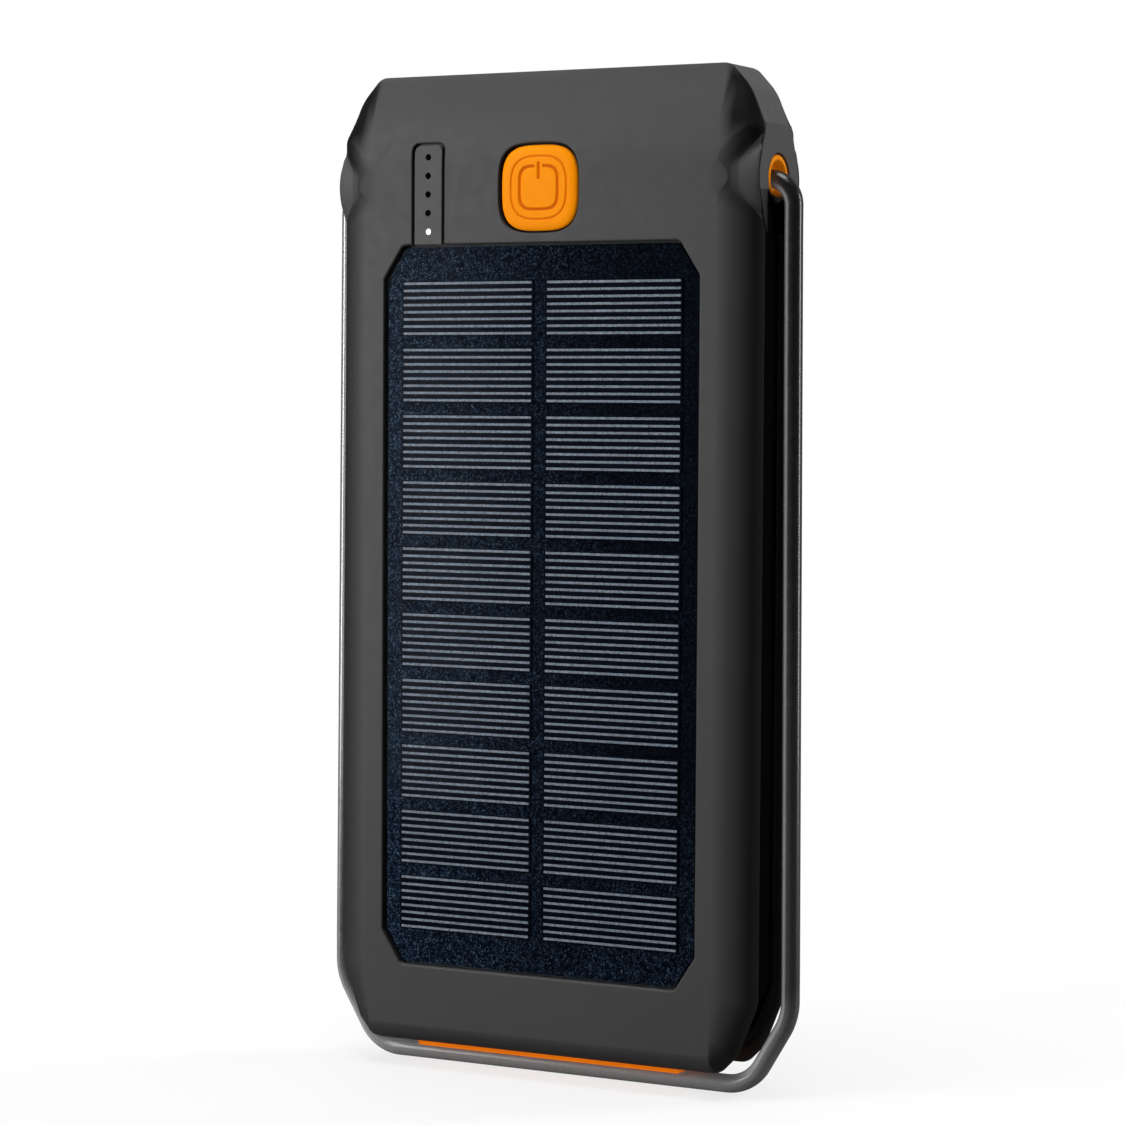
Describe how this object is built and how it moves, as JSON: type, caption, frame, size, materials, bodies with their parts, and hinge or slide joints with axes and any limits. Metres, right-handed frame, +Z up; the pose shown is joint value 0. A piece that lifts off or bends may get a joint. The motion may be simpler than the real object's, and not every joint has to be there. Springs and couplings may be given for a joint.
{
  "type": "solar phone charger",
  "caption": "Rugged solar phone charger: slim two-shell power bank with a solar panel on one face, a grid of lamps on the other and a swinging wire bail.",
  "frame": {"origin": "bottom centre of the whole object: under the middle of the bail's lower bar, on the mid plane of the casing", "axes": "+Z up along the length, the solar face looks along -Y, the lamp face along +Y, X across the width along the bail's pivot line"},
  "size_m": [0.081, 0.017, 0.1544],
  "materials": {
    "shell_grey": "fine satin moulding texture, dark grey",
    "shell_black": "fine satin moulding texture, near black",
    "frame_grey": "satin, mid grey",
    "black_rubber": "matt",
    "panel_navy": "speckled resin, dark navy",
    "cell_silicon": "dark blue silicon",
    "cell_silver": "printed silver paste",
    "panel_film": "clear resin film",
    "foam_tape": "closed-cell foam",
    "wire_skin": "silicone insulation",
    "orange_gloss": "satin gloss orange",
    "orange_bush": "satin orange",
    "orange_rubber": "matt orange rubber",
    "component_black": "moulded epoxy",
    "component_tan": "ceramic",
    "component_pale": "ceramic",
    "circuit_green": "solder mask",
    "white_board": "white solder mask",
    "clear_plastic": "clear polycarbonate",
    "led_white": "LED package",
    "led_yellow": "phosphor LED package",
    "white_plastic": "white reflector plastic",
    "socket_steel": "nickel plated",
    "screw_steel": "zinc plated",
    "pin_brass": "bright",
    "cell_foil": "aluminium laminate pouch",
    "bail_black": "gloss black over steel wire"
  },
  "bodies": {
    "case": {"front_shell": "shell_grey", "rear_shell": "shell_black", "mid_frame": "frame_grey", "front_gasket": "black_rubber", "rear_gasket": "black_rubber", "solar_substrate": "panel_navy", "solar_cells": "cell_silicon", "cell_fingers": "cell_silver", "solar_cover": "panel_film", "solar_adhesive": "foam_tape", "solar_leads": "wire_skin", "button_membrane": "black_rubber", "button_switch": "component_black", "button_board": "circuit_green", "indicator_strip": "shell_grey", "indicator_light_pipes": "clear_plastic", "indicator_leds": "led_white", "main_board": "circuit_green", "usb_a_port_left": "socket_steel", "usb_a_port_right": "socket_steel", "usb_c_port": "socket_steel", "inductors": "component_black", "capacitors": "component_tan", "charge_ics": "component_black", "mosfets": "component_black", "board_link": "pin_brass", "battery_cell_front": "cell_foil", "battery_cell_rear": "cell_foil", "battery_pads": "foam_tape", "battery_leads": "wire_skin", "lamp_board": "white_board", "lamp_leds": "led_yellow", "lamp_resistors": "component_pale", "lamp_reflectors": "white_plastic", "lamp_lenses": "clear_plastic", "lamp_leads": "wire_skin", "pivot_bush_left": "orange_bush", "pivot_bush_right": "orange_bush", "base_bumper": "orange_rubber", "cover_anchor": "orange_rubber", "case_screws": "screw_steel", "thread_inserts": "pin_brass", "board_screws": "screw_steel"},
    "bail": {"bail_handle": "bail_black", "bail_clip_left": "socket_steel", "bail_clip_right": "socket_steel"},
    "button": {"button_cap": "orange_gloss", "switch_plunger": "orange_gloss"},
    "cover": {"port_cover": "orange_rubber"}
  },
  "joints": [
    {"name": "bail_swing", "type": "hinge", "parent": "case", "child": "bail", "pos_m": [0, 0, 0.1374], "axis": [1, 0, 0], "range_deg": [-180, 180]},
    {"name": "button_press", "type": "slide", "parent": "case", "child": "button", "axis": [0, 1, 0], "range_m": [0, 0.0005]},
    {"name": "cover_open", "type": "hinge", "parent": "case", "child": "cover", "pos_m": [0.01985, 0, 0.15378], "axis": [0, 1, 0], "range_deg": [0, 95]}
  ]
}
